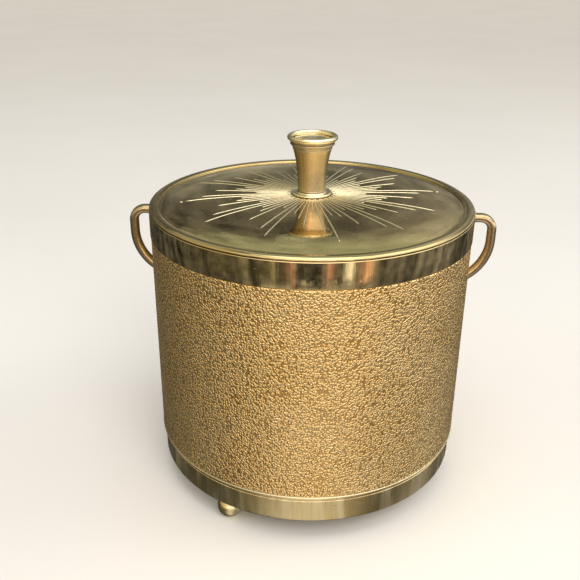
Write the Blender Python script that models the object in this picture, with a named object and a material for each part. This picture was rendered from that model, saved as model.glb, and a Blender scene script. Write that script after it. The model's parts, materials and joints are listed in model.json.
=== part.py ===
"""Brass-tone insulated ice bucket on three ball feet, with two side handles and a lift-off knobbed lid.

Dimensions are in millimetres and become metres where a mesh is made (MM).
+Z is up, the bucket's axis is the Z axis, the floor it stands on is z = 0,
and the two handles lie on the X axis. Every turned piece is a profile of
(radius, height) points spun about the axis.
"""

import math

import bmesh
import bpy

MM = 0.001

# Driving dimensions
BODY_RADIUS = 95.0  # embossed sleeve
PAN_RADIUS = 93.7  # base pan, which slips inside the sleeve
BAND_RADIUS = 95.4  # polished band round the mouth
LINER_RADIUS = 82.2  # inside of the plastic tub at its mouth
FOOT_HEIGHT = 13.4  # floor to the underside of the pan
SLEEVE_BOTTOM = 30.0
BAND_BOTTOM = 158.0
BAND_TOP = 172.8
LINER_FLOOR = 33.0
PANEL_RADIUS = 89.5  # domed middle of the lid
PANEL_EDGE = 173.9  # height of the dome at that radius
PANEL_CENTRE = 178.5  # height of the dome at the knob
PANEL_POWER = 5.0  # how flat the dome's middle is
RIDGE_TOP = 175.2  # rounded rim of the lid
KNOB_TOP = 213.4
HANDLE_REACH = 110.2  # axis to the outside of a handle
HANDLE_UPPER = 166.3  # height of a handle's upper root
HANDLE_LOWER = 130.0  # height of a handle's lower root
FOOT_CIRCLE = 85.5  # axis to the middle of each foot
FOOT_ANGLES = {"front_left": 240.0, "right": 0.0, "back_left": 120.0}

# Common details
SHEET = 0.9  # spun sheet metal
LID_SHEET = 0.8
PLASTIC = 2.0
GAP = 0.3  # left between pieces that touch
RECESS = 4.0  # step up in the middle of the pan's floor
BALL_RADIUS = 7.25
BALL_CENTRE = 6.9
STUD_RADIUS = 1.5
BAR_HALF_DEPTH = 2.6  # handle bar, in the plane of the handle
BAR_HALF_WIDTH = 3.1  # handle bar, across that plane
SLEEVE_NECK = 94.1  # sleeve's outside where the band covers it
BAND_WELL = 88.0  # inside of the band's channel, which holds the liner
SHELF_TOP = 167.6  # ledge of the band under the liner's flange
SEGMENTS = 42
KNOB_SEGMENTS = 24
FOOT_SEGMENTS = 15
FASTENER_SEGMENTS = 12


def clear_scene():
    for obj in list(bpy.data.objects):
        bpy.data.objects.remove(obj, do_unlink=True)


def make_material(name, color, metallic, roughness):
    material = bpy.data.materials.new(name)
    material.use_nodes = True
    shader = material.node_tree.nodes["Principled BSDF"]
    shader.inputs["Base Color"].default_value = (*color, 1.0)
    shader.inputs["Metallic"].default_value = metallic
    shader.inputs["Roughness"].default_value = roughness
    return material


def make_materials():
    finishes = {
        "embossed_brass": ((0.66, 0.43, 0.16), 1.0, 0.32),
        "polished_brass": ((0.72, 0.60, 0.34), 1.0, 0.10),
        "satin_brass": ((0.68, 0.55, 0.30), 1.0, 0.28),
        "handle_brass": ((0.62, 0.45, 0.24), 1.0, 0.22),
        "knob_brass": ((0.72, 0.50, 0.26), 1.0, 0.24),
        "zinc_steel": ((0.58, 0.58, 0.56), 1.0, 0.35),
        "ivory_plastic": ((0.86, 0.82, 0.70), 0.0, 0.28),
        "white_foam": ((0.92, 0.92, 0.90), 0.0, 0.85),
        "black_rubber": ((0.03, 0.03, 0.03), 0.0, 0.70),
    }
    return {name: make_material(name, *values) for name, values in finishes.items()}


def add_object(name, mesh, material, parent=None):
    if not mesh.materials:
        mesh.materials.append(material)
    obj = bpy.data.objects.new(name, mesh)
    bpy.context.scene.collection.objects.link(obj)
    obj.parent = parent
    return obj


def finish_mesh(name, bm, sharp_degrees=35.0):
    bmesh.ops.recalc_face_normals(bm, faces=bm.faces)
    mesh = bpy.data.meshes.new(name)
    bm.to_mesh(mesh)
    bm.free()
    mesh.shade_smooth()
    mesh.set_sharp_from_angle(angle=math.radians(sharp_degrees))
    return mesh


def arc(centre_r, centre_z, radius, start, end, steps, radius_z=None):
    """Points of a round or elliptical arc, with angles in degrees from +r towards +z."""
    tall = radius if radius_z is None else radius_z
    points = []
    for step in range(steps + 1):
        angle = math.radians(start + (end - start) * step / steps)
        points.append((centre_r + radius * math.cos(angle), centre_z + tall * math.sin(angle)))
    return points


def turned_mesh(name, profile, segments):
    """Spins a profile about Z. One that starts on the axis ends on it, and any other closes on itself."""
    bm = bmesh.new()
    verts = [bm.verts.new((r * MM, 0.0, z * MM)) for r, z in profile]
    for first, second in zip(verts, verts[1:]):
        bm.edges.new((first, second))
    if profile[0][0] > 0.0:
        bm.edges.new((verts[-1], verts[0]))
    bmesh.ops.spin(
        bm,
        geom=bm.verts[:] + bm.edges[:],
        axis=(0.0, 0.0, 1.0),
        cent=(0.0, 0.0, 0.0),
        angle=math.tau,
        steps=segments,
        use_merge=True,
    )
    bmesh.ops.remove_doubles(bm, verts=bm.verts[:], dist=1e-7)
    return finish_mesh(name, bm)


def turned(name, profile, material, segments=SEGMENTS, parent=None):
    return add_object(name, turned_mesh(name, profile, segments), material, parent)


def lofted_mesh(name, rings, closed):
    """Joins rings of equally many points, and closes the ends with a face or with each other."""
    bm = bmesh.new()
    loops = [[bm.verts.new([c * MM for c in point]) for point in ring] for ring in rings]
    pairs = list(zip(loops, loops[1:]))
    if closed:
        pairs.append((loops[-1], loops[0]))
    else:
        bm.faces.new(loops[0])
        bm.faces.new(loops[-1])
    count = len(loops[0])
    for low, high in pairs:
        for i in range(count):
            j = (i + 1) % count
            bm.faces.new((low[i], low[j], high[j], high[i]))
    return finish_mesh(name, bm)


def add_hole(obj, name, radius, start, end):
    """Drills a round hole between two points that lie on one line along X or Z."""
    bm = bmesh.new()
    length = math.dist(start, end) * MM
    bmesh.ops.create_cone(
        bm, cap_ends=True, segments=FASTENER_SEGMENTS, radius1=radius * MM, radius2=radius * MM, depth=length
    )
    drill = bpy.data.objects.new(name, finish_mesh(name, bm))
    bpy.context.scene.collection.objects.link(drill)
    drill.location = [(a + b) / 2 * MM for a, b in zip(start, end)]
    if abs(start[0] - end[0]) > 0.0:
        drill.rotation_euler = (0.0, math.pi / 2, 0.0)
    drill.hide_render = True
    drill.display_type = "WIRE"
    cut = obj.modifiers.new(name, "BOOLEAN")
    cut.operation = "DIFFERENCE"
    cut.solver = "EXACT"
    cut.object = drill


def foot_places():
    for label, degrees in FOOT_ANGLES.items():
        angle = math.radians(degrees)
        yield label, FOOT_CIRCLE * math.cos(angle), FOOT_CIRCLE * math.sin(angle)


# Body


def build_base_pan(materials):
    """Spun pan: flat outer ring, raised middle, and a wall that runs up inside the sleeve."""
    floor = FOOT_HEIGHT
    raised = floor + RECESS
    corner = 1.5
    inside = PAN_RADIUS - SHEET
    wall_top = SLEEVE_BOTTOM + 14.0
    profile = [(2.5, raised), (69.0, raised), (73.0, floor)]
    profile += arc(PAN_RADIUS - corner, floor + corner, corner, -90.0, 0.0, 3)
    profile += [(PAN_RADIUS, wall_top), (inside, wall_top), (inside, floor + 1.8), (inside - 0.8, floor + 1.0)]
    profile += [(73.4, floor + 1.0), (69.4, raised + 1.0), (2.5, raised + 1.0)]
    pan = turned("base_pan", profile, materials["satin_brass"])
    for label, x, y in foot_places():
        add_hole(pan, f"drill_foot_{label}", 2.3, (x, y, floor - 2.0), (x, y, floor + 3.0))


def build_outer_sleeve(materials):
    """Tube with a small hem at its foot and a necked-in top that the band covers."""
    inside = BODY_RADIUS - SHEET
    neck_top = 168.6
    profile = [(inside, SLEEVE_BOTTOM), (BODY_RADIUS + 0.2, SLEEVE_BOTTOM)]
    profile += [(BODY_RADIUS + 0.2, SLEEVE_BOTTOM + 1.2), (BODY_RADIUS, SLEEVE_BOTTOM + 1.5)]
    profile += [(BODY_RADIUS, BAND_BOTTOM - 1.1), (SLEEVE_NECK, BAND_BOTTOM - 0.3), (SLEEVE_NECK, neck_top)]
    profile += [(SLEEVE_NECK - SHEET, neck_top), (SLEEVE_NECK - SHEET, BAND_BOTTOM - 0.5)]
    profile += [(inside, BAND_BOTTOM - 1.4)]
    sleeve = turned("outer_sleeve", profile, materials["embossed_brass"])
    for side, sign in (("right", 1.0), ("left", -1.0)):
        for level, height in (("upper", HANDLE_UPPER), ("lower", HANDLE_LOWER)):
            start, end = (sign * 88.0, 0.0, height), (sign * 98.0, 0.0, height)
            add_hole(sleeve, f"drill_sleeve_{side}_{level}", STUD_RADIUS + GAP, start, end)


def build_top_band(materials):
    """Polished channel: a skirt over the sleeve, a flat top, and a well whose ledge carries the liner."""
    inside = BAND_RADIUS - 1.0
    top = BAND_TOP
    under = BAND_TOP - SHEET
    ledge_edge = LINER_RADIUS + PLASTIC + 0.4
    profile = [(inside, BAND_BOTTOM), (BAND_RADIUS, BAND_BOTTOM)]
    profile += arc(BAND_RADIUS - 1.0, top - 1.0, 1.0, 0.0, 90.0, 3)
    profile += arc(BAND_WELL + 0.8, top - 0.8, 0.8, 90.0, 180.0, 2)
    profile += [(BAND_WELL, SHELF_TOP), (ledge_edge, SHELF_TOP), (ledge_edge, SHELF_TOP - SHEET)]
    profile += [(BAND_WELL + SHEET, SHELF_TOP - SHEET), (BAND_WELL + SHEET, under), (inside, under)]
    band = turned("top_band", profile, materials["polished_brass"])
    for side, sign in (("right", 1.0), ("left", -1.0)):
        start, end = (sign * 92.0, 0.0, HANDLE_UPPER), (sign * 98.0, 0.0, HANDLE_UPPER)
        add_hole(band, f"drill_band_{side}", STUD_RADIUS + GAP, start, end)


def build_inner_liner(materials):
    """Moulded tub with a flange at its mouth and a screw boss under its floor."""
    flange_top = SHELF_TOP + 3.4
    flange_under = flange_top - PLASTIC
    base_radius = LINER_RADIUS - 3.2
    fillet = 6.0
    boss_foot = FOOT_HEIGHT + RECESS + 1.0 + GAP
    centre = base_radius - fillet
    profile = [(0.0, LINER_FLOOR)]
    profile += arc(centre, LINER_FLOOR + fillet, fillet, -90.0, 0.0, 3)
    profile += [(LINER_RADIUS, flange_top - 0.4), (LINER_RADIUS + 0.4, flange_top)]
    profile += [(BAND_WELL - GAP, flange_top), (BAND_WELL - GAP, flange_under)]
    profile += [(LINER_RADIUS + PLASTIC, flange_under)]
    profile += arc(centre, LINER_FLOOR + fillet, fillet + PLASTIC, 0.0, -90.0, 2)
    profile += [(7.0, LINER_FLOOR - PLASTIC), (7.0, boss_foot), (2.3, boss_foot), (2.3, 30.0), (0.0, 30.0)]
    turned("inner_liner", profile, materials["ivory_plastic"])


def build_insulation(materials):
    """Foam jacket round the tub and foam disc under it, both clear of the nuts and screws."""
    jacket = [(81.4, 20.5), (89.0, 20.5), (89.0, 164.5), (84.5, 164.5), (81.4, 39.0)]
    turned("insulation_jacket", jacket, materials["white_foam"])
    disc = [(7.4, 18.8), (80.6, 18.8), (80.6, 30.6), (7.4, 30.6)]
    turned("insulation_disc", disc, materials["white_foam"])


def build_rim_gasket(materials):
    low = SHELF_TOP + GAP
    profile = [(85.0, low), (BAND_WELL - 0.4, low), (BAND_WELL - 0.4, low + 0.8), (85.0, low + 0.8)]
    turned("rim_gasket", profile, materials["black_rubber"])


def build_base_fixing(materials):
    """Screw and washer in the pan's recess, which pull the pan up against the tub's boss."""
    washer = washer_profile(2.4, 9.0, 16.3, 0.8)
    turned("base_washer", washer, materials["zinc_steel"], FASTENER_SEGMENTS * 2)
    screw = [(0.0, 29.7), (2.0, 29.7), (2.0, 16.0), (5.0, 16.0), (5.0, 15.2), (3.2, 14.3), (0.0, 13.9)]
    turned("base_screw", screw, materials["zinc_steel"], FASTENER_SEGMENTS * 2)


def washer_profile(hole, radius, low, thickness):
    return [(hole, low), (radius, low), (radius, low + thickness), (hole, low + thickness)]


# Feet


def build_feet(materials):
    """Three brass balls with a flat seat and a flat pad, each held by a screw from inside the pan."""
    seat = FOOT_HEIGHT - GAP
    pad_angle = math.degrees(math.asin(-BALL_CENTRE / BALL_RADIUS))
    seat_angle = math.degrees(math.asin((seat - BALL_CENTRE) / BALL_RADIUS))
    ball = [(0.0, 0.0)] + arc(0.0, BALL_CENTRE, BALL_RADIUS, pad_angle, seat_angle, 7)
    ball += [(2.3, seat), (2.3, 4.7), (0.0, 4.7)]
    washer = washer_profile(2.3, 4.5, FOOT_HEIGHT + 1.3, 0.6)
    screw = [(0.0, 17.5), (2.2, 17.2), (3.4, 16.5), (3.4, 15.6), (2.0, 15.6), (2.0, 5.0), (0.0, 5.0)]
    ball_mesh = turned_mesh("ball_foot", ball, FOOT_SEGMENTS)
    washer_mesh = turned_mesh("foot_washer", washer, FASTENER_SEGMENTS)
    screw_mesh = turned_mesh("foot_screw", screw, FASTENER_SEGMENTS)
    for label, x, y in foot_places():
        for name, mesh, slot in (
            ("ball_foot", ball_mesh, "satin_brass"),
            ("foot_washer", washer_mesh, "zinc_steel"),
            ("foot_screw", screw_mesh, "zinc_steel"),
        ):
            piece = add_object(f"{name}_{label}", mesh, materials[slot])
            piece.location = (x * MM, y * MM, 0.0)


# Handles


def section_ring(point, heading, half_depth, half_width, square=2.0, count=12):
    """Ring across a path in the XZ plane. heading is the path's angle from +X towards +Z, in degrees."""
    tangent = math.radians(heading)
    out_x, out_z = -math.sin(tangent), math.cos(tangent)
    ring = []
    for i in range(count):
        angle = math.tau * i / count
        along = math.copysign(abs(math.cos(angle)) ** (2.0 / square), math.cos(angle)) * half_depth
        across = math.copysign(abs(math.sin(angle)) ** (2.0 / square), math.sin(angle)) * half_width
        ring.append((point[0] + out_x * along, across, point[1] + out_z * along))
    return ring


def slide_to_wall(ring, heading, wall_x):
    """Moves each point of a ring along the path until it lies in the plane x = wall_x."""
    slope = math.tan(math.radians(heading))
    return [(wall_x, y, z + (wall_x - x) * slope) for x, y, z in ring]


def handle_path(start, end):
    """Out level from start, round a small bend, straight down, then one long curve in to end."""
    reach = HANDLE_REACH - BAR_HALF_DEPTH
    bend = 5.4
    bend_steps = 4
    path = [(start, 0.0)]
    for i, point in enumerate(arc(reach - bend, start[1] - bend, bend, 90.0, 0.0, bend_steps)):
        path.append((point, -90.0 * i / bend_steps))
    curve_top = start[1] - 14.0
    curve_steps = 6
    inward, drop = reach - end[0], curve_top - end[1]
    sweep = 2.0 * math.degrees(math.atan2(inward, drop))
    radius = drop / math.sin(math.radians(sweep))
    for i, point in enumerate(arc(reach - radius, curve_top, radius, 0.0, -sweep, curve_steps)):
        path.append((point, -90.0 - sweep * i / curve_steps))
    return path


def build_handles(materials):
    """Each handle is one cast bar with a collar or pad and a threaded stud at both ends."""
    collar_face = BAND_RADIUS + GAP
    collar_back = collar_face + 1.2
    pad_face = BODY_RADIUS + GAP
    pad_back = pad_face + 0.9
    upper_stud, lower_stud = 89.3, 90.2
    rings = []
    for x, radius in ((upper_stud, STUD_RADIUS), (collar_face, STUD_RADIUS), (collar_face, 4.0), (collar_back, 4.0)):
        rings.append(section_ring((x, HANDLE_UPPER), 0.0, radius, radius))
    path = handle_path((collar_back, HANDLE_UPPER), (pad_back, HANDLE_LOWER))
    for point, heading in path:
        rings.append(section_ring(point, heading, BAR_HALF_DEPTH, BAR_HALF_WIDTH, square=2.5))
    rings[-1] = slide_to_wall(rings[-1], path[-1][1], pad_back)
    for x, radius in ((pad_back, 3.7), (pad_face, 3.7), (pad_face, STUD_RADIUS), (lower_stud, STUD_RADIUS)):
        rings.append(section_ring((x, HANDLE_LOWER), -180.0, radius, radius))
    mesh = lofted_mesh("handle", rings, closed=False)
    for name, turn in (("handle_right", 0.0), ("handle_left", math.pi)):
        add_object(name, mesh, materials["handle_brass"]).rotation_euler = (0.0, 0.0, turn)


def nut_mesh(across_flats, hole, thickness):
    """Hexagon nut whose axis is Z, standing on z = 0."""
    outer, inner = [], []
    for i in range(FASTENER_SEGMENTS):
        angle = math.tau * i / FASTENER_SEGMENTS
        from_flat = (angle + math.pi / 6) % (math.pi / 3) - math.pi / 6
        radius = across_flats / 2 / math.cos(from_flat)
        outer.append((radius * math.cos(angle), radius * math.sin(angle)))
        inner.append((hole * math.cos(angle), hole * math.sin(angle)))
    rings = [
        [(x, y, z) for x, y in loop]
        for loop, z in ((outer, 0.0), (outer, thickness), (inner, thickness), (inner, 0.0))
    ]
    return lofted_mesh("handle_nut", rings, closed=True)


def build_handle_fixings(materials):
    """A washer and a nut on each stud, inside the wall. Each mesh stands on z = 0 and is turned to face out."""
    washer_thickness, nut_thickness = 0.6, 2.2
    washer = washer_profile(STUD_RADIUS + GAP, 3.5, 0.0, washer_thickness)
    washer_piece = turned_mesh("handle_washer", washer, FASTENER_SEGMENTS)
    nut_piece = nut_mesh(5.5, STUD_RADIUS + GAP, nut_thickness)
    upper_wall = SLEEVE_NECK - SHEET - 0.55
    lower_wall = BODY_RADIUS - SHEET - 0.55
    for side, sign in (("right", 1.0), ("left", -1.0)):
        for level, height, wall in (("upper", HANDLE_UPPER, upper_wall), ("lower", HANDLE_LOWER, lower_wall)):
            washer_at = wall - washer_thickness
            nut_at = washer_at - GAP - nut_thickness
            for name, mesh, x in (("washer", washer_piece, washer_at), ("nut", nut_piece, nut_at)):
                piece = add_object(f"handle_{name}_{side}_{level}", mesh, materials["zinc_steel"])
                piece.location = (sign * x * MM, 0.0, height * MM)
                piece.rotation_euler = (0.0, sign * math.pi / 2, 0.0)


# Lid. Its pieces share an empty on the axis that they lift along.


def panel_height(radius):
    """Height of the top of the lid's dome, which is nearly flat in the middle and falls off near its edge."""
    return PANEL_CENTRE - (PANEL_CENTRE - PANEL_EDGE) * (radius / PANEL_RADIUS) ** PANEL_POWER


def panel_profile(radii, below=0.0):
    return [(radius, panel_height(radius) - below) for radius in radii]


def build_lid_shell(materials, lift):
    """Spun lid: a rounded rim that drops to a shallow dome with a hole for the knob's screw."""
    foot = BAND_TOP + GAP
    edge = BODY_RADIUS + 0.2
    crown = 92.3
    wall = LID_SHEET
    shoulder = foot + 0.5
    groove = RIDGE_TOP - 1.0
    profile = [(edge - wall, foot), (edge, foot)]
    profile += arc(crown, shoulder, edge - crown, 0.0, 90.0, 5, RIDGE_TOP - shoulder)
    profile += arc(crown, groove, crown - PANEL_RADIUS, 90.0, 180.0, 3, RIDGE_TOP - groove)[1:]
    profile += panel_profile((PANEL_RADIUS, 86.5, 82.5, 77.5, 70.0, 60.0, 40.0, 2.8))
    profile += panel_profile((2.8, 45.0, 62.0, 72.0, 79.0), wall)
    profile += [(84.0, PANEL_EDGE - wall), (PANEL_RADIUS + wall, PANEL_EDGE - wall)]
    profile += arc(crown, groove, crown - PANEL_RADIUS - wall, 180.0, 90.0, 2, RIDGE_TOP - groove - wall)
    profile += arc(crown, shoulder, edge - wall - crown, 90.0, 0.0, 3, RIDGE_TOP - wall - shoulder)[1:]
    turned("lid_shell", profile, materials["polished_brass"], parent=lift)


def build_lid_inner_pan(materials, lift):
    """Plastic pan that hangs in the liner's mouth, with a flange against the edge of the lid's dome."""
    low, wall = 153.4, 1.5
    flange_top = PANEL_EDGE - LID_SHEET - GAP
    centre, height = 73.5, 159.4
    profile = [(2.8, low)] + arc(centre, height, 6.0, -90.0, 0.0, 3)
    profile += [(80.6, flange_top - wall), (83.8, flange_top - wall), (83.8, flange_top), (79.0, flange_top)]
    profile += arc(centre, height, 6.0 - wall, 0.0, -90.0, 2)
    profile += [(2.8, low + wall)]
    turned("lid_inner_pan", profile, materials["ivory_plastic"], parent=lift)


def build_lid_foam(materials, lift):
    profile = [(2.9, 155.4), (72.9, 155.4), (77.0, 160.0), (78.4, 172.9)]
    profile += panel_profile((72.0, 62.0, 45.0, 2.9), LID_SHEET + GAP)
    turned("lid_foam", profile, materials["white_foam"], parent=lift)


def build_lid_gasket(materials, lift):
    top = PANEL_EDGE - LID_SHEET - GAP
    profile = [(84.2, top - 1.5), (87.4, top - 1.5), (87.4, top), (84.2, top)]
    turned("lid_gasket", profile, materials["black_rubber"], parent=lift)


def build_knob(materials, lift):
    """Dished base ring, flared knob with beads under its lip, and a disc set into its top."""
    brass = materials["knob_brass"]
    ring_low = PANEL_CENTRE + GAP
    seat = ring_low + 1.5
    ring = [(2.8, ring_low), (11.7, ring_low)] + arc(11.1, ring_low + 1.0, 0.6, 0.0, 120.0, 3)
    ring += [(10.3, ring_low + 0.8), (8.9, ring_low + 0.8), (8.5, seat), (2.8, seat)]
    turned("knob_escutcheon", ring, brass, KNOB_SEGMENTS, lift)

    foot, flare_top = seat + GAP, 204.6
    waist, throat = 8.15, 11.0
    lip = 1.3
    rim = 14.6
    recess_floor = KNOB_TOP - 3.4
    body = [(0.0, recess_floor), (rim - 2 * lip, recess_floor)]
    body += arc(rim - lip, KNOB_TOP - lip, lip, 180.0, 0.0, 6)
    body += [(rim, KNOB_TOP - 2.0), (12.6, KNOB_TOP - 4.0)]
    body += [(12.9, KNOB_TOP - 4.9), (12.4, KNOB_TOP - 5.8), (11.3, KNOB_TOP - 7.1), (11.5, KNOB_TOP - 7.8)]
    steps = 6
    for step in range(steps + 1):
        share = 1.0 - step / steps
        body.append((waist + (throat - waist) * share**2.2, foot + 0.8 + (flare_top - foot - 0.8) * share))
    body += [(8.4, foot + 0.4), (8.4, foot), (2.6, foot), (2.6, 197.3), (0.0, 197.3)]
    turned("knob_body", body, brass, KNOB_SEGMENTS, lift)

    low = recess_floor + GAP
    cap = [(0.0, low + 1.3), (6.6, low + 1.2), (7.0, low + 0.9), (11.2, low + 0.7), (11.6, low + 0.5)]
    cap += [(11.6, low), (0.0, low)]
    turned("knob_cap", cap, brass, KNOB_SEGMENTS, lift)


def build_knob_fixing(materials, lift):
    """Screw and washer from under the inner pan, up through the lid into the knob."""
    steel = materials["zinc_steel"]
    turned("knob_washer", washer_profile(2.8, 7.0, 152.3, 0.8), steel, FASTENER_SEGMENTS * 2, lift)
    screw = [(0.0, 197.0), (2.3, 197.0), (2.3, 152.0), (4.6, 152.0), (4.6, 151.2), (3.0, 150.3), (0.0, 149.9)]
    turned("knob_screw", screw, steel, FASTENER_SEGMENTS * 2, lift)


def build_body(materials):
    build_base_pan(materials)
    build_outer_sleeve(materials)
    build_top_band(materials)
    build_inner_liner(materials)
    build_insulation(materials)
    build_rim_gasket(materials)
    build_base_fixing(materials)
    build_feet(materials)
    build_handles(materials)
    build_handle_fixings(materials)


def build_lid(materials):
    lift = bpy.data.objects.new("lid_lift_axis", None)
    bpy.context.scene.collection.objects.link(lift)
    build_lid_shell(materials, lift)
    build_lid_inner_pan(materials, lift)
    build_lid_foam(materials, lift)
    build_lid_gasket(materials, lift)
    build_knob(materials, lift)
    build_knob_fixing(materials, lift)


clear_scene()
finishes = make_materials()
build_body(finishes)
build_lid(finishes)
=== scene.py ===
"""Looks for the brass-tone ice bucket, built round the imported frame.

Sizes are in millimetres and become metres where a mesh is made (MM). They start from
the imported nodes' boxes. Every turned piece is a profile of (radius, height) points.
"""

import json
import math

import bmesh
import bpy
import numpy as np
from mathutils import Matrix, Vector


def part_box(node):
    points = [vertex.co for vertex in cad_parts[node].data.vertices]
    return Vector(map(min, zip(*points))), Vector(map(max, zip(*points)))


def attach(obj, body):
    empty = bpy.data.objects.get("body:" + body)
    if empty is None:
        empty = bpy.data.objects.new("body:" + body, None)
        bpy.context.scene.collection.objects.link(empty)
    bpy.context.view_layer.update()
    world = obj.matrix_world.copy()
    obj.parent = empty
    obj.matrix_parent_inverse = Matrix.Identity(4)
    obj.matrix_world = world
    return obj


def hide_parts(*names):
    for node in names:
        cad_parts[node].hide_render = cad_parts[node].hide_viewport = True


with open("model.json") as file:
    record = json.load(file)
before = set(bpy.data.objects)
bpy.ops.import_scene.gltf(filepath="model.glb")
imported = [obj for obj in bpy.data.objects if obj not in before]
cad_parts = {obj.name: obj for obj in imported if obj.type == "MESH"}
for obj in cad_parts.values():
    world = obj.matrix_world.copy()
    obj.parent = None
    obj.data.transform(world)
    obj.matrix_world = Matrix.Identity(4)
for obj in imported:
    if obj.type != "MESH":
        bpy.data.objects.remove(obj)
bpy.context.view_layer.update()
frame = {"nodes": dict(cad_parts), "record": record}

MM = 0.001
SHEET = 0.9  # thickness of the body's sheet brass
LID_SHEET = 0.8  # thickness of the lid's sheet brass
FINE = 256  # steps round the large turned pieces
SMALL = 96  # steps round the knob and the feet
SHARP_DEGREES = 32.0  # faces that meet at more than this keep a hard edge
MERGE = 1e-7  # metres within which two points become one
STUD_HOLE = 1.8  # radius of the holes that the handles' studs go through


# Meshes


def reach(node):
    """Radius, foot and top of a turned CAD node, in millimetres."""
    low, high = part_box(node)
    return high.x / MM, low.z / MM, high.z / MM


def middle(node):
    """Centre of a CAD node's box, in millimetres."""
    return [(low + high) / 2 / MM for low, high in zip(*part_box(node))]


def arc(centre_r, centre_z, radius, start, end, steps, radius_z=None):
    """Points of a round or elliptical arc, with angles in degrees from +r towards +z."""
    tall = radius if radius_z is None else radius_z
    points = []
    for step in range(steps + 1):
        angle = math.radians(start + (end - start) * step / steps)
        points.append((centre_r + radius * math.cos(angle), centre_z + tall * math.sin(angle)))
    return points


def rounded(corners, steps=4):
    """A profile with its corners (r, z, radius) rounded.

    A corner on the axis, or one with no radius, stays as it is.
    """
    points = []
    count = len(corners)
    for i, (r, z, radius) in enumerate(corners):
        here = Vector((r, z))
        before, after = Vector(corners[i - 1][:2]) - here, Vector(corners[(i + 1) % count][:2]) - here
        if not radius or r == 0.0:
            points.append((r, z))
            continue
        before.normalize()
        after.normalize()
        half = before.angle(after) / 2
        run = radius / math.tan(half)
        centre = here + (before + after).normalized() * (radius / math.sin(half))
        first, last = here + before * run - centre, here + after * run - centre
        for step in range(steps + 1):
            spoke = first.lerp(last, step / steps)
            spoke = spoke.normalized() * radius if spoke.length > 0 else first
            points.append(tuple(centre + spoke))
    return points


def smooth(mesh, sharp_degrees=SHARP_DEGREES):
    """Shades a mesh smooth, but for its sharp edges."""
    mesh.shade_smooth()
    mesh.set_sharp_from_angle(angle=math.radians(sharp_degrees))
    return mesh


def outward_mesh(name, verts, faces):
    """A mesh of closed shells whose faces all look out."""
    mesh = bpy.data.meshes.new(name)
    mesh.from_pydata(verts, [], faces)
    bm = bmesh.new()
    bm.from_mesh(mesh)
    bmesh.ops.recalc_face_normals(bm, faces=bm.faces[:])
    bm.to_mesh(mesh)
    bm.free()
    return mesh


def finish_mesh(mesh):
    """Joins doubled points, turns the faces out and smooths the mesh."""
    bm = bmesh.new()
    bm.from_mesh(mesh)
    bmesh.ops.remove_doubles(bm, verts=bm.verts[:], dist=MERGE)
    if bm.calc_volume(signed=True) < 0.0:
        bmesh.ops.reverse_faces(bm, faces=bm.faces[:])
    bm.to_mesh(mesh)
    bm.free()
    return smooth(mesh)


def turned_mesh(name, profile, segments):
    """Spins a profile about Z. One that starts on the axis ends on it, and any other closes on itself."""
    turns = np.linspace(0.0, math.tau, segments, endpoint=False)
    verts, rings = [], []
    for r, z in profile:
        on_axis = r <= 0.0
        angles = turns[:1] if on_axis else turns
        rings.append(np.full(segments, len(verts)) if on_axis else np.arange(segments) + len(verts))
        verts.extend((r * MM * math.cos(a), r * MM * math.sin(a), z * MM) for a in angles)
    pairs = list(zip(rings, rings[1:]))
    if profile[0][0] > 0.0:
        pairs.append((rings[-1], rings[0]))
    faces = []
    for low, high in pairs:
        for a, b, c, d in zip(low, np.roll(low, -1), np.roll(high, -1), high):
            corners = tuple(dict.fromkeys((int(a), int(b), int(c), int(d))))
            if len(corners) > 2:
                faces.append(corners)
    mesh = bpy.data.meshes.new(name)
    mesh.from_pydata(verts, [], faces)
    return finish_mesh(mesh)


def lofted_mesh(name, rings):
    """Joins rings of equally many points and caps both ends."""
    count = len(rings[0])
    verts = [[c * MM for c in point] for ring in rings for point in ring]
    faces = [tuple(range(count)), tuple(range(len(verts) - count, len(verts)))]
    for low in range(0, len(verts) - count, count):
        for i in range(count):
            j = (i + 1) % count
            faces.append((low + i, low + j, low + count + j, low + count + i))
    return finish_mesh(outward_mesh(name, verts, faces))


def new_object(name, data):
    """Puts a mesh, a light or a camera into the scene."""
    obj = bpy.data.objects.new(name, data)
    bpy.context.scene.collection.objects.link(obj)
    return obj


def add_piece(name, mesh, slot, body, replaced=(), place=None):
    """A visible piece that rides on a body, takes its finish from a slot and replaces CAD nodes."""
    obj = new_object(name, mesh)
    if place is not None:
        obj.matrix_world = place
    mesh.materials.clear()
    mesh.materials.append(finishes[slot])
    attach(obj, body)
    if replaced:
        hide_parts(*replaced)


def turned(name, profile, slot, body, replaced=(), segments=FINE):
    """A visible piece spun from a profile."""
    add_piece(name, turned_mesh(name, profile, segments), slot, body, replaced)


def bored(mesh, holes):
    """The mesh with round holes drilled through it, each given as (start, end, radius)."""
    target = new_object("bore_target", mesh)
    drills = []
    for start, end, radius in holes:
        bm = bmesh.new()
        axis = Vector(end) - Vector(start)
        turn = axis.to_track_quat("Z", "Y").to_matrix().to_4x4()
        centre = (Vector(start) + Vector(end)) / 2 * MM
        bmesh.ops.create_cone(
            bm,
            cap_ends=True,
            segments=32,
            radius1=radius * MM,
            radius2=radius * MM,
            depth=axis.length * MM,
            matrix=Matrix.Translation(centre) @ turn,
        )
        drill_mesh = bpy.data.meshes.new("drill")
        bm.to_mesh(drill_mesh)
        bm.free()
        drill = new_object("drill", drill_mesh)
        cut = target.modifiers.new("bore", "BOOLEAN")
        cut.operation = "DIFFERENCE"
        cut.solver = "MANIFOLD"
        cut.object = drill
        drills.append(drill)
    result = evaluated_mesh(target)
    for obj in [target, *drills]:
        bpy.data.objects.remove(obj, do_unlink=True)
    return smooth(result)


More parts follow.
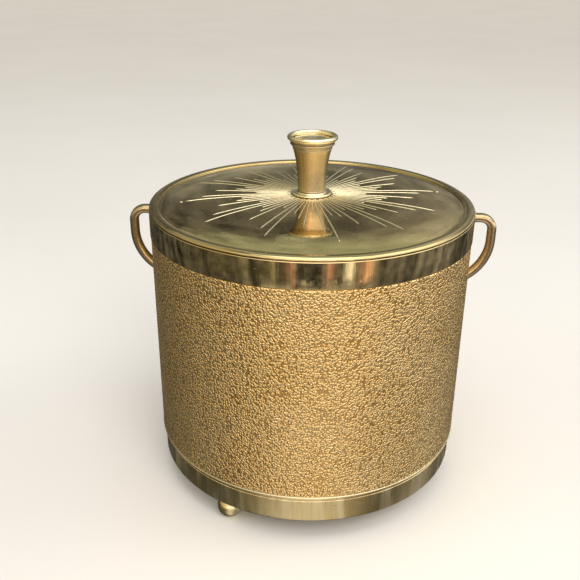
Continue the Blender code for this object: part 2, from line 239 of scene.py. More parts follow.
def evaluated_mesh(obj):
    """The object's mesh with its modifiers applied."""
    bpy.context.view_layer.update()
    graph = bpy.context.evaluated_depsgraph_get()
    return bpy.data.meshes.new_from_object(obj.evaluated_get(graph), depsgraph=graph)


# Materials


def add(tree, kind, *, settings=None, **inputs):
    """Adds a node, a shader node unless its kind says otherwise.

    Each input is a socket to link or a value. In its name _ is a space, and n0 is the first input.
    """
    node = tree.nodes.new(kind if "Node" in kind else "ShaderNode" + kind)
    for key, value in (settings or {}).items():
        setattr(node, key, value)
    for key, value in inputs.items():
        name = key.replace("_", " ")
        socket = node.inputs[int(name[1:])] if name[0] == "n" and name[1:].isdigit() else node.inputs[name]
        if isinstance(value, bpy.types.NodeSocket):
            tree.links.new(value, socket)
        else:
            socket.default_value = value
    return node


def start_material(name, **values):
    """A new material with uniform values on its shader's own sockets."""
    material = bpy.data.materials.new(name)
    material.use_nodes = True
    tree = material.node_tree
    shader = tree.nodes["Principled BSDF"]
    for key, value in values.items():
        shader.inputs[key.replace("_", " ")].default_value = value
    return material, tree, shader


def place_of(tree, stretch=(1.0, 1.0, 1.0)):
    """Object coordinates, stretched, so that patterns are in metres and meet round the bucket."""
    source = add(tree, "TexCoord").outputs["Object"]
    return add(tree, "Mapping", Vector=source, Scale=stretch).outputs["Vector"]


def noise(tree, place, scale, detail=4.0, roughness=0.55, distortion=0.0):
    """Cloudy noise from 0 to 1, with about as many clouds to the metre as its scale says."""
    node = add(
        tree,
        "TexNoise",
        Vector=place,
        Scale=scale,
        Detail=detail,
        Roughness=roughness,
        Distortion=distortion,
    )
    return node.outputs["Fac"]


def spread(tree, value, low, high, to_low=0.0, to_high=1.0):
    """Maps low..high to to_low..to_high and holds the ends."""
    node = add(
        tree,
        "MapRange",
        settings={"clamp": True},
        Value=value,
        From_Min=low,
        From_Max=high,
        To_Min=to_low,
        To_Max=to_high,
    )
    return node.outputs["Result"]


def blend(tree, share, first, second, mode="MIX"):
    """Mixes two colours, each a socket or an (r, g, b) triple. A share of 1 gives the second."""
    node = tree.nodes.new("ShaderNodeMix")
    node.data_type = "RGBA"
    node.blend_type = mode
    sockets = (node.inputs["Factor"], node.inputs[6], node.inputs[7])
    for socket, value in zip(sockets, (share, first, second)):
        if isinstance(value, bpy.types.NodeSocket):
            tree.links.new(value, socket)
        else:
            socket.default_value = (*value, 1.0) if isinstance(value, tuple) else value
    return node.outputs[2]


def sum_of(tree, first, second, operation="ADD"):
    """The sum of two values, or what another operation makes of them."""
    return add(tree, "Math", settings={"operation": operation}, n0=first, n1=second).outputs[0]


def bumped(tree, height, depth, over=None):
    """A bump of the given depth in metres, on top of another normal if there is one."""
    extra = {} if over is None else {"Normal": over}
    return add(tree, "Bump", Height=height, Distance=depth, **extra).outputs["Normal"]


PEBBLE = 0.00125  # size of one embossed pebble, in metres
PEBBLE_SMOOTHNESS = 0.35
PEBBLE_RANDOMNESS = 0.9
CREASE = (0.32, 0.68)  # distance from a pebble's middle, in pebbles, over which the material's crease falls
PEBBLE_DEPTH = 0.30  # millimetres from crease to crown in the material's bump


def pebbles(tree, place):
    """Distance from each spot to the middle of its pebble, in pebbles."""
    node = add(
        tree,
        "TexVoronoi",
        settings={"feature": "SMOOTH_F1"},
        Vector=place,
        Scale=1.0 / PEBBLE,
        Smoothness=PEBBLE_SMOOTHNESS,
        Randomness=PEBBLE_RANDOMNESS,
    )
    return node.outputs["Distance"]


def embossed_brass():
    """Golden pebble embossing: pale crowns, brown creases, and broad changes of tone.

    The hem at its foot and the strip under the band are plain, and the hem is painted pale cream as a
    painted highlight.
    """
    material, tree, shader = start_material("embossed_brass", Metallic=0.94)
    place = place_of(tree)
    warped = add(tree, "VectorMath", settings={"operation": "ADD"}, n0=place)
    drift = add(tree, "TexNoise", Vector=place, Scale=260.0, Detail=2.0)
    small = add(tree, "VectorMath", settings={"operation": "SCALE"}, n0=drift.outputs["Color"], Scale=0.0012)
    tree.links.new(small.outputs[0], warped.inputs[1])
    grain = noise(tree, place, 1400.0, detail=3.0)
    broad = noise(tree, place, 22.0, detail=3.0)
    crown = spread(tree, pebbles(tree, warped.outputs[0]), *CREASE, 1.0, 0.0)
    colour = blend(tree, crown, (0.55, 0.34, 0.11), (1.0, 0.77, 0.39))
    colour = blend(tree, spread(tree, broad, 0.35, 0.7, 0.0, 0.5), colour, (0.95, 0.74, 0.42))
    dull_crease = spread(tree, crown, 0.0, 1.0, 0.08, 0.0)
    rough = sum_of(tree, spread(tree, grain, 0.3, 0.7, 0.14, 0.28), dull_crease)
    tree.links.new(rough, shader.inputs["Roughness"])
    height = sum_of(tree, crown, spread(tree, grain, 0.2, 0.8, 0.0, 0.25))
    foot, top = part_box("outer_sleeve")[0].z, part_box("top_band")[0].z
    z = add(tree, "SeparateXYZ", Vector=place).outputs["Z"]
    plain_foot = spread(tree, z, foot + 1.4 * MM, foot + 2.6 * MM)
    plain_top = spread(tree, z, top - 1.2 * MM, top - 0.3 * MM, 1.0, 0.0)
    # Painted highlight: the hem is painted pale cream for the bright line along it
    hem_highlight_colour = (0.90, 0.80, 0.56)
    colour = blend(tree, plain_foot, hem_highlight_colour, colour)
    tree.links.new(colour, shader.inputs["Base Color"])
    height = sum_of(tree, height, sum_of(tree, plain_foot, plain_top, "MULTIPLY"), "MULTIPLY")
    tree.links.new(bumped(tree, height, PEBBLE_DEPTH * MM), shader.inputs["Normal"])
    return material


def polished_brass():
    """Mirror brass with hand smudges, a rolled waviness, hairline wear and a few tarnish specks."""
    material, tree, shader = start_material("polished_brass", Metallic=1.0)
    place = place_of(tree)
    upright = place_of(tree, (1.0, 1.0, 0.08))
    smudge = noise(tree, place, 34.0, detail=5.0, distortion=0.6)
    speck = spread(tree, noise(tree, place, 420.0, detail=2.0), 0.70, 0.76)
    hair = spread(tree, noise(tree, upright, 900.0, detail=2.0), 0.45, 0.75)
    colour = blend(tree, spread(tree, smudge, 0.35, 0.75), (0.70, 0.58, 0.34), (0.60, 0.48, 0.26))
    colour = blend(tree, sum_of(tree, speck, 0.6, "MULTIPLY"), colour, (0.82, 0.80, 0.68))
    tree.links.new(colour, shader.inputs["Base Color"])
    rough = spread(tree, smudge, 0.35, 0.75, 0.035, 0.10)
    rough = sum_of(tree, rough, spread(tree, hair, 0.0, 1.0, 0.0, 0.04))
    rough = sum_of(tree, rough, sum_of(tree, speck, 0.35, "MULTIPLY"))
    tree.links.new(rough, shader.inputs["Roughness"])
    wave = noise(tree, upright, 60.0, detail=3.0)
    normal = bumped(tree, wave, 0.00016)
    normal = bumped(tree, hair, 0.000006, over=normal)
    tree.links.new(normal, shader.inputs["Normal"])
    return material


def satin_brass():
    """Spun satin brass of the pan and feet: fine lines round the axis, cloudy tarnish, and rougher upright
    streaks painted pale as a painted reflection.
    """
    material, tree, shader = start_material("satin_brass", Metallic=1.0)
    place = place_of(tree)
    spun = place_of(tree, (0.03, 0.03, 1.0))
    cloud = noise(tree, place, 28.0, detail=5.0, distortion=0.4)
    line = noise(tree, spun, 2600.0, detail=2.0)
    pit = spread(tree, noise(tree, place, 300.0, detail=2.0), 0.72, 0.80)
    # Painted reflection: pale upright streaks, which are also rougher
    rough_streak_reflection = spread(tree, noise(tree, place_of(tree, (1.0, 1.0, 0.12)), 110.0, detail=6.0), 0.44, 0.62)
    colour = blend(tree, spread(tree, cloud, 0.3, 0.75), (0.72, 0.60, 0.33), (0.55, 0.44, 0.23))
    colour = blend(tree, rough_streak_reflection, colour, (0.86, 0.77, 0.53))
    colour = blend(tree, pit, colour, (0.12, 0.08, 0.04))
    tree.links.new(colour, shader.inputs["Base Color"])
    rough = spread(tree, cloud, 0.3, 0.75, 0.14, 0.26)
    rough = sum_of(tree, rough, spread(tree, line, 0.3, 0.7, 0.0, 0.04))
    rough = sum_of(tree, rough, spread(tree, rough_streak_reflection, 0.0, 1.0, 0.0, 0.22))
    tree.links.new(rough, shader.inputs["Roughness"])
    tree.links.new(bumped(tree, line, 0.000006), shader.inputs["Normal"])
    return material


# Painted highlight: a pale colour, and how far it fades, painted on the knob's lip and ring
HIGHLIGHT_FADE = 0.4 * MM
PAINTED_HIGHLIGHT_COLOUR = (0.96, 0.90, 0.68)


def cast_brass(name, light, dark, rough_low, rough_high, stretch=(1.0, 1.0, 1.0), painted_highlights=()):
    """Handle and knob brass: cloudy, with fine polishing lines that run the way of the stretch.

    It is painted pale between each given pair of heights, in metres, as a painted highlight.
    """
    material, tree, shader = start_material(name, Metallic=1.0)
    place = place_of(tree)
    lined = place_of(tree, stretch)
    cloud = noise(tree, place, 70.0, detail=5.0, distortion=0.5)
    line = noise(tree, lined, 1500.0, detail=3.0)
    colour = blend(tree, spread(tree, cloud, 0.3, 0.72), light, dark)
    if painted_highlights:
        z = add(tree, "SeparateXYZ", Vector=place).outputs["Z"]
    # Painted highlight: pale bands between the given heights
    for low, high in painted_highlights:
        above = spread(tree, z, low - HIGHLIGHT_FADE, low)
        below = spread(tree, z, high, high + HIGHLIGHT_FADE, 1.0, 0.0)
        colour = blend(tree, sum_of(tree, above, below, "MULTIPLY"), colour, PAINTED_HIGHLIGHT_COLOUR)
    tree.links.new(colour, shader.inputs["Base Color"])
    rough = sum_of(
        tree,
        spread(tree, cloud, 0.3, 0.72, rough_low, rough_high),
        spread(tree, line, 0.3, 0.7, 0.0, 0.07),
    )
    tree.links.new(rough, shader.inputs["Roughness"])
    normal = bumped(tree, cloud, 0.0002)
    tree.links.new(bumped(tree, line, 0.00001, over=normal), shader.inputs["Normal"])
    return material


def starburst_inlay():
    """Pale ribs of the starburst, slightly rough, with darker nicks."""
    material, tree, shader = start_material("starburst_inlay", Metallic=1.0)
    place = place_of(tree)
    nick = noise(tree, place, 520.0, detail=3.0)
    colour = blend(tree, spread(tree, nick, 0.35, 0.7), (0.98, 0.96, 0.80), (0.78, 0.74, 0.54))
    tree.links.new(colour, shader.inputs["Base Color"])
    tree.links.new(spread(tree, nick, 0.3, 0.7, 0.28, 0.42), shader.inputs["Roughness"])
    tree.links.new(bumped(tree, nick, 0.00002), shader.inputs["Normal"])
    return material


def zinc_steel():
    """Zinc plate of the screws, nuts and washers: small spangles with a yellowish bloom."""
    material, tree, shader = start_material("zinc_steel", Metallic=1.0)
    place = place_of(tree)
    spangle = add(tree, "TexVoronoi", Vector=place, Scale=900.0).outputs["Color"]
    grey = add(tree, "SeparateColor", Color=spangle).outputs[0]
    cloud = noise(tree, place, 160.0)
    colour = blend(tree, grey, (0.60, 0.60, 0.56), (0.50, 0.51, 0.50))
    colour = blend(tree, spread(tree, cloud, 0.5, 0.8, 0.0, 0.5), colour, (0.62, 0.56, 0.40))
    tree.links.new(colour, shader.inputs["Base Color"])
    tree.links.new(spread(tree, cloud, 0.3, 0.7, 0.28, 0.45), shader.inputs["Roughness"])
    tree.links.new(bumped(tree, cloud, 0.00003), shader.inputs["Normal"])
    return material


def ivory_plastic():
    """Moulded tub and lid pan: soft gloss, faint flow clouds and upright scuffs."""
    material, tree, shader = start_material("ivory_plastic", Metallic=0.0)
    shader.inputs["Subsurface Weight"].default_value = 0.08
    shader.inputs["Subsurface Radius"].default_value = (0.004, 0.003, 0.002)
    place = place_of(tree)
    cloud = noise(tree, place, 18.0, detail=3.0)
    scuff = spread(tree, noise(tree, place_of(tree, (1.0, 1.0, 0.15)), 500.0, detail=4.0), 0.55, 0.8)
    peel = noise(tree, place, 700.0, detail=2.0)
    colour = blend(tree, spread(tree, cloud, 0.3, 0.7), (0.80, 0.74, 0.58), (0.74, 0.67, 0.50))
    colour = blend(tree, sum_of(tree, scuff, 0.25, "MULTIPLY"), colour, (0.62, 0.56, 0.44))
    tree.links.new(colour, shader.inputs["Base Color"])
    rough = sum_of(tree, spread(tree, cloud, 0.3, 0.7, 0.24, 0.32), sum_of(tree, scuff, 0.2, "MULTIPLY"))
    tree.links.new(rough, shader.inputs["Roughness"])
    tree.links.new(bumped(tree, peel, 0.00002), shader.inputs["Normal"])
    return material


def white_foam():
    """Expanded foam of 3 mm beads."""
    material, tree, shader = start_material("white_foam", Metallic=0.0)
    bead = add(tree, "TexVoronoi", Vector=place_of(tree), Scale=330.0)
    swell = spread(tree, bead.outputs["Distance"], 0.1, 0.7, 1.0, 0.0)
    colour = blend(tree, swell, (0.74, 0.73, 0.70), (0.90, 0.90, 0.88))
    tree.links.new(colour, shader.inputs["Base Color"])
    tree.links.new(spread(tree, swell, 0.0, 1.0, 0.9, 0.75), shader.inputs["Roughness"])
    tree.links.new(bumped(tree, swell, 0.0004), shader.inputs["Normal"])
    return material


def black_rubber():
    """Matte gaskets with a grey bloom."""
    material, tree, shader = start_material("black_rubber", Metallic=0.0)
    place = place_of(tree)
    bloom = noise(tree, place, 90.0, detail=5.0)
    pore = noise(tree, place, 1600.0, detail=2.0)
    colour = blend(tree, spread(tree, bloom, 0.35, 0.75), (0.022, 0.022, 0.022), (0.060, 0.058, 0.054))
    tree.links.new(colour, shader.inputs["Base Color"])
    tree.links.new(spread(tree, bloom, 0.3, 0.7, 0.58, 0.78), shader.inputs["Roughness"])
    tree.links.new(bumped(tree, pore, 0.00004), shader.inputs["Normal"])
    return material


knob_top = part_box("knob_body")[1].z
ring_low, ring_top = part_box("knob_escutcheon")[0].z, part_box("knob_escutcheon")[1].z

finishes = {
    "embossed_brass": embossed_brass(),
    "polished_brass": polished_brass(),
    "satin_brass": satin_brass(),
    "handle_brass": cast_brass("handle_brass", (0.54, 0.46, 0.31), (0.34, 0.27, 0.16), 0.14, 0.26),
    "knob_brass": cast_brass(
        "knob_brass",
        (0.52, 0.44, 0.32),
        (0.40, 0.33, 0.21),
        0.13,
        0.24,
        (1.0, 1.0, 0.05),
        # Painted highlight: the top 2.2 mm of the knob and its whole ring are painted pale
        painted_highlights=((knob_top - 2.2 * MM, knob_top), (ring_low, ring_top)),
    ),
    "starburst_inlay": starburst_inlay(),
    "zinc_steel": zinc_steel(),
    "ivory_plastic": ivory_plastic(),
    "white_foam": white_foam(),
    "black_rubber": black_rubber(),
}

# Every CAD node gets the finish of its own slot, and the hidden ones stay as they are.
for entry in frame["record"]["subparts"]:
    node = frame["nodes"][entry["node"]]
    for index in range(len(node.material_slots)):
        node.material_slots[index].material = finishes[entry["material_slot"]]


# Body


FEET = ("front_left", "right", "back_left")
FOOT_BORE = 2.3  # radius of the holes for the feet's screws, in the pan and in the feet


def build_pan():
    """Spun pan: raised middle, flat ring, and a wall with a fine groove just under the sleeve."""
    radius, floor, top = reach("base_pan")
    raised = floor + 4.0
    inside = radius - SHEET
    screw_hole = 2.5
    groove = reach("outer_sleeve")[1] - 2.3
    corners = [(screw_hole, raised, 0.0), (69.0, raised, 1.5), (73.0, floor, 1.5), (radius, floor, 1.5)]
    corners += [(radius, groove - 0.35, 0.1), (radius - 0.22, groove, 0.1), (radius, groove + 0.35, 0.1)]
    corners += [(radius, top, 0.2), (inside, top, 0.2), (inside, floor + 1.0, 1.0)]
    corners += [(73.4, floor + 1.0, 1.0), (69.4, raised + 1.0, 1.0), (screw_hole, raised + 1.0, 0.0)]
    holes = []
    for label in FEET:
        x, y, _ = middle(f"ball_foot_{label}")
        holes.append(((x, y, floor - 2.0), (x, y, floor + 3.0), FOOT_BORE))
    mesh = bored(turned_mesh("pan", rounded(corners, 6), FINE), holes)
    add_piece("spun_pan", mesh, "satin_brass", "bucket", ("base_pan",))


def build_feet():
    """Ball feet, turned with a flat pad, a flat seat and a bore for the screw."""
    top = reach("ball_foot_right")[2]
    centre, radius = 6.9, 7.25
    bore_end = 4.7
    pad = math.degrees(math.asin(-centre / radius))
    seat = math.degrees(math.asin((top - centre) / radius))
    profile = [(0.0, 0.0)] + arc(0.0, centre, radius, pad, seat, 28)
    profile += [(FOOT_BORE, top), (FOOT_BORE, bore_end), (0.0, bore_end)]
    for label in FEET:
        x, y, _ = middle(f"ball_foot_{label}")
        mesh = turned_mesh("ball", profile, SMALL)
        place = Matrix.Translation((x * MM, y * MM, 0.0))
        add_piece(f"ball_{label}", mesh, "satin_brass", "bucket", (f"ball_foot_{label}",), place)


SLEEVE_STEPS = 720
SLEEVE_ROWS = 112
RELIEF = 0.09  # millimetres from crease to crown in the sleeve's mesh
RELIEF_CREASE = (0.15, 0.62)  # distance from a pebble's middle, in pebbles, over which the relief falls
RELIEF_FADE = 3.0  # millimetres over which the relief dies away at the foot and the top of the face


def build_sleeve():
    """Embossed tube: a rolled hem, real pebble relief on its face, and the neck that the band covers."""
    edge, foot, top = reach("outer_sleeve")
    radius = edge - 0.2
    inside = radius - SHEET
    band_foot = reach("top_band")[1]
    face_low, face_high = foot + 1.9, band_foot - 0.35
    profile = [(inside, foot + 0.5)] + arc(radius - 0.4, foot + 0.6, 0.6, 200.0, 360.0, 8)
    profile += arc(radius - 0.2, foot + 1.0, 0.4, 0.0, 60.0, 4)
    profile += [(radius, foot + 1.5)]
    rise = (face_high - face_low) / SLEEVE_ROWS
    profile += [(radius, face_low + rise * row) for row in range(SLEEVE_ROWS + 1)]
    profile += [(radius - 0.15, band_foot - 0.2), (inside, band_foot - 0.2), (inside, top)]
    profile += [(inside - SHEET, top), (inside - SHEET, band_foot - 1.0), (inside, band_foot - 1.2)]
    mesh = turned_mesh("sleeve", profile, SLEEVE_STEPS)
    mesh = relieved(mesh, radius, face_low, face_high)
    holes = []
    for side in ("right", "left"):
        for level in ("upper", "lower"):
            x, _, z = middle(f"handle_washer_{side}_{level}")
            step = math.copysign(1.0, x)
            holes.append(((x - step * 3.0, 0.0, z), (x + step * 6.0, 0.0, z), STUD_HOLE))
    add_piece("embossed_sleeve", bored(mesh, holes), "embossed_brass", "bucket", ("outer_sleeve",))


def relieved(mesh, radius, low, high):
    """Pushes the sleeve's face in and out by pebbles of the size that its material draws."""
    weight = mesh.attributes.new("face_weight", "FLOAT", "POINT")
    co = np.zeros(len(mesh.vertices) * 3)
    mesh.vertices.foreach_get("co", co)
    co = co.reshape(-1, 3) / MM
    on_face = np.hypot(co[:, 0], co[:, 1]) > radius - 0.05
    fade = np.clip(np.minimum(co[:, 2] - low, high - co[:, 2]) / RELIEF_FADE, 0.0, 1.0)
    weight.data.foreach_set("value", (fade * on_face).astype(np.float32))
    group = bpy.data.node_groups.new("relief", "GeometryNodeTree")
    group.interface.new_socket("Geometry", in_out="INPUT", socket_type="NodeSocketGeometry")
    group.interface.new_socket("Geometry", in_out="OUTPUT", socket_type="NodeSocketGeometry")
    entry = add(group, "NodeGroupInput").outputs[0]
    place = add(group, "GeometryNodeInputPosition").outputs[0]
    normal = add(group, "GeometryNodeInputNormal").outputs[0]
    share = add(group, "GeometryNodeInputNamedAttribute", Name="face_weight").outputs[0]
    lift = spread(group, pebbles(group, place), *RELIEF_CREASE, 0.5, -0.5)
    depth = sum_of(group, sum_of(group, lift, share, "MULTIPLY"), RELIEF * MM, "MULTIPLY")
    push = add(group, "VectorMath", settings={"operation": "SCALE"}, n0=normal, Scale=depth).outputs[0]
    moved = add(group, "GeometryNodeSetPosition", Geometry=entry, Offset=push).outputs[0]
    group.links.new(moved, group.nodes.new("NodeGroupOutput").inputs[0])
    obj = new_object("relief", mesh)
    obj.modifiers.new("relief", "NODES").node_group = group
    result = evaluated_mesh(obj)
    bpy.data.objects.remove(obj, do_unlink=True)
    return result


def build_band():
    """Polished channel: skirt, rounded top edge, and the well whose ledge carries the tub."""
    edge, foot, top = reach("top_band")
    inside = edge - 1.0
    under = top - SHEET
    well, ledge = 88.0, 84.6
    shelf = reach("rim_gasket")[1] - 0.3
    corners = [(inside, foot, 0.25), (edge, foot, 0.35), (edge, top, 0.45), (well, top, 0.6)]
    corners += [(well, shelf, 0.3), (ledge, shelf, 0.3), (ledge, shelf - SHEET, 0.3)]
    corners += [(well + SHEET, shelf - SHEET, 0.3), (well + SHEET, under, 0.3), (inside, under, 0.3)]
    stud = middle("handle_washer_right_upper")[2]
    drill_in, drill_out = 92.0, 98.0
    holes = []
    for side in (1.0, -1.0):
        holes.append(((side * drill_in, 0.0, stud), (side * drill_out, 0.0, stud), STUD_HOLE))
    mesh = bored(turned_mesh("band", rounded(corners, 5), FINE), holes)
    add_piece("mouth_band", mesh, "polished_brass", "bucket", ("top_band",))


def build_tub():
    """Moulded tub with a rolled flange, rounded floor corner and a screw boss."""
    flange, low, top = reach("inner_liner")
    mouth, wall = 82.2, 2.0
    floor = 33.0
    base = mouth - 3.2
    boss, bore, bore_end = 7.0, 2.3, 30.0
    corners = [(0.0, floor, 0.0), (base, floor, 6.0), (mouth, top, 0.6), (flange, top, 0.5)]
    corners += [(flange, top - wall, 0.5), (mouth + wall, top - wall, 0.6), (base + wall, floor - wall, 8.0)]
    corners += [(boss, floor - wall, 1.0), (boss, low, 0.4), (bore, low, 0.2), (bore, bore_end, 0.0)]
    corners += [(0.0, bore_end, 0.0)]
    turned("moulded_tub", rounded(corners, 8), "ivory_plastic", "bucket", ("inner_liner",))


def build_gasket(name, node, inner, body):
    """Flat rubber ring with softened edges."""
    outer, low, high = reach(node)
    corners = [(inner, low, 0.2), (outer, low, 0.2), (outer, high, 0.3), (inner, high, 0.3)]
    turned(name, rounded(corners, 4), "black_rubber", body, (node,))


# Handles


BAR_HALF_DEPTH, BAR_HALF_WIDTH = 2.6, 3.1
BAR_SQUARE = 2.7  # 2 is a plain oval, and more is squarer
BEND = 7.2  # radius of the bend at the handle's outer corner
STRAIGHT_END = 14.0  # how far below the upper stud the long curve begins
STUD_RADIUS = 1.5
STUD_TIP = STUD_RADIUS - 0.3
COLLAR_RADIUS = 4.0
PAD_RADIUS = 3.7
RING_POINTS = 40


def section_ring(point, heading, half_depth, half_width, square=2.0):
    """Ring across a path in the XZ plane, whose heading is in degrees from +X towards +Z."""
    tangent = math.radians(heading)
    out_x, out_z = -math.sin(tangent), math.cos(tangent)
    ring = []
    for i in range(RING_POINTS):
        angle = math.tau * i / RING_POINTS
        along = math.copysign(abs(math.cos(angle)) ** (2.0 / square), math.cos(angle)) * half_depth
        across = math.copysign(abs(math.sin(angle)) ** (2.0 / square), math.sin(angle)) * half_width
        ring.append((point[0] + out_x * along, across, point[1] + out_z * along))
    return ring


def handle_path(start, end, outside):
    """Out level from start, round a small bend, straight down, then one long curve in to end."""
    centre = outside - BAR_HALF_DEPTH
    bend_steps, curve_steps, straight_steps = 16, 26, 4
    run = (centre - BEND - start[0]) / straight_steps
    path = [((start[0] + run * i, start[1]), 0.0) for i in range(straight_steps)]
    for i, point in enumerate(arc(centre - BEND, start[1] - BEND, BEND, 90.0, 0.0, bend_steps)):
        path.append((point, -90.0 * i / bend_steps))
    curve_top = start[1] - STRAIGHT_END
    fall = (BEND - STRAIGHT_END) / straight_steps
    for i in range(1, straight_steps):
        path.append(((centre, start[1] - BEND + fall * i), -90.0))
    inward, drop = centre - end[0], curve_top - end[1]
    sweep = 2.0 * math.degrees(math.atan2(inward, drop))
    radius = drop / math.sin(math.radians(sweep))
    for i, point in enumerate(arc(centre - radius, curve_top, radius, 0.0, -sweep, curve_steps)):
        path.append((point, -90.0 - sweep * i / curve_steps))
    return path


def build_handles():
    """Each handle is one cast bar with a turned collar at its upper root and a pad at its lower one."""
    low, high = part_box("handle_right")
    stud_end, outside = low.x / MM, high.x / MM
    upper = middle("handle_washer_right_upper")[2]
    lower = middle("handle_washer_right_lower")[2]
    collar_face = reach("top_band")[0] + 0.3
    collar_back = collar_face + 1.2
    pad_face = reach("outer_sleeve")[0] + 0.1
    pad_back = pad_face + 0.9
    soft = 0.25
    rings = []
    for x, radius in (
        (stud_end, STUD_TIP),
        (stud_end + 0.3, STUD_RADIUS),
        (collar_face, STUD_RADIUS),
        (collar_face, COLLAR_RADIUS - soft),
        (collar_face + soft, COLLAR_RADIUS),
        (collar_back - soft, COLLAR_RADIUS),
        (collar_back, COLLAR_RADIUS - soft),
        (collar_back + 0.1, 3.2),
    ):
        rings.append(section_ring((x, upper), 0.0, radius, radius))
    path = handle_path((collar_back + 0.15, upper), (pad_back, lower), outside)
    for point, heading in path:
        rings.append(section_ring(point, heading, BAR_HALF_DEPTH, BAR_HALF_WIDTH, BAR_SQUARE))
    slope = math.tan(math.radians(path[-1][1]))
    rings[-1] = [(pad_back, y, z + (pad_back - x) * slope) for x, y, z in rings[-1]]
    for x, radius in (
        (pad_back, PAD_RADIUS),
        (pad_face, PAD_RADIUS),
        (pad_face, STUD_RADIUS),
        (stud_end + 1.2, STUD_RADIUS),
        (stud_end + 0.9, STUD_TIP),
    ):
        rings.append(section_ring((x, lower), -180.0, radius, radius))
    for name, turn in (("right", 0.0), ("left", math.pi)):
        mesh = lofted_mesh(f"handle_{name}_bar", rings)
        mesh.transform(Matrix.Rotation(turn, 4, "Z"))
        add_piece(f"cast_handle_{name}", mesh, "handle_brass", "bucket", (f"handle_{name}",))


# Lid


DOME_RADIUS = 89.5
DOME_TOP = reach("knob_escutcheon")[1] - 0.3
DOME_EDGE = reach("lid_gasket")[2] + LID_SHEET + 0.3
DOME_POWER = 5.0  # flat in the middle, with its fall near the edge
LID_HOLE = 2.8  # radius of the hole for the knob's screw


def dome(radius):
    """Height of the lid's top at a radius."""
    return DOME_TOP - (DOME_TOP - DOME_EDGE) * (radius / DOME_RADIUS) ** DOME_POWER


def build_lid():
    """Spun lid: rounded rim, a fine groove, and the shallow mirror dome."""
    edge, foot, _ = reach("lid_shell")
    rim_top = DOME_EDGE + 1.3
    crown = 92.3
    shoulder = foot + 0.5
    groove = rim_top - 1.0
    wall = LID_SHEET
    profile = arc(edge - 0.25, foot + 0.25, 0.25, -90.0, 0.0, 4)
    profile += arc(crown, shoulder, edge - crown, 0.0, 90.0, 18, rim_top - shoulder)
    profile += arc(crown, groove, crown - DOME_RADIUS, 90.0, 180.0, 14, rim_top - groove)[1:]
    profile += arc(DOME_RADIUS - 0.3, DOME_EDGE + 0.1, 0.3, 0.0, -180.0, 8)
    steps = 56
    profile += [(r, dome(r)) for r in np.linspace(DOME_RADIUS - 0.7, LID_HOLE, steps + 1)]
    profile += [(LID_HOLE, dome(LID_HOLE) - wall)]
    profile += [(r, dome(r) - wall) for r in (20.0, 45.0, 58.0, 66.0, 72.0, 76.0, 79.0)]
    profile += [(84.0, DOME_EDGE - wall), (DOME_RADIUS + wall, DOME_EDGE - wall)]
    profile += arc(crown, groove, crown - DOME_RADIUS - wall, 180.0, 90.0, 6, rim_top - groove - wall)
    profile += arc(crown, shoulder, edge - wall - crown, 90.0, 0.0, 8, rim_top - wall - shoulder)[1:]
    profile += [(edge - wall, foot + 0.05), (edge - wall + 0.05, foot)]
    turned("lid_dome", profile, "polished_brass", "lid", ("lid_shell",))


RAY_STEP = 5.0  # degrees between rays
RAY_LENGTHS = (66.0, 74.0, 41.0, 46.0, 58.5, 34.0)  # the radius at which each ray of a group ends
RAY_STARTS = (12.9, 12.4, 14.5, 12.9, 12.4, 14.5)  # the radius at which each ray of a group begins
RAY_TURN = 8.0  # where the first ray points, in degrees from -Y towards +X
RAY_HEIGHT = 0.22
RAY_SUNK = 0.12  # how far the edges of a rib go into the lid
RAY_TIP = 0.12  # width of a rib's very end, as a share of its full width


def ray_mesh_parts(start, length, width, degrees, verts, faces):
    """Adds one half-round rib, with a round end, that follows the dome from one radius to another."""
    stations, across = 26, 7
    spin = math.radians(degrees)
    outward = Vector((math.sin(spin), -math.cos(spin)))
    sideways = Vector((-outward.y, outward.x))
    base = len(verts)
    for i in range(stations + 1):
        share = i / stations
        radius = start + (length - start) * share
        into_end = max(0.0, (radius - (length - width)) / width)
        cap = max(RAY_TIP, math.sqrt(max(0.0, 1.0 - into_end**2)))
        for k in range(across):
            angle = math.pi * k / (across - 1)
            side = math.cos(angle) * width * cap
            sunk = RAY_SUNK if k in (0, across - 1) else 0.0
            rise = math.sin(angle) * RAY_HEIGHT * cap - sunk
            spot = outward * radius + sideways * side
            verts.append((spot.x * MM, spot.y * MM, (dome(radius) + rise) * MM))
    for i in range(stations):
        row = base + i * across
        for k in range(across):
            n = (k + 1) % across
            faces.append((row + k, row + n, row + across + n, row + across + k))
    faces.append(tuple(range(base, base + across)))
    faces.append(tuple(range(base + stations * across, base + (stations + 1) * across)))


def build_starburst():
    """Seventy-two ribs in twelve groups, with a few loose dots past the longest ones.

    The ribs' widths here are half-widths.
    """
    verts, faces = [], []
    rng = np.random.default_rng(7)
    count = int(360 / RAY_STEP)
    for index in range(count):
        place = index % len(RAY_LENGTHS)
        degrees = RAY_TURN + RAY_STEP * index + rng.uniform(-0.5, 0.5)
        length = RAY_LENGTHS[place] + rng.uniform(-1.6, 1.6)
        width = 0.40 + rng.uniform(-0.03, 0.04)
        ray_mesh_parts(RAY_STARTS[place], length, width, degrees, verts, faces)
        if place == 1 and index % (3 * len(RAY_LENGTHS)) == 1:
            ray_mesh_parts(length + 1.6, length + 3.0, width, degrees, verts, faces)
    mesh = smooth(outward_mesh("starburst", verts, faces), sharp_degrees=60.0)
    add_piece("starburst_ribs", mesh, "starburst_inlay", "lid")


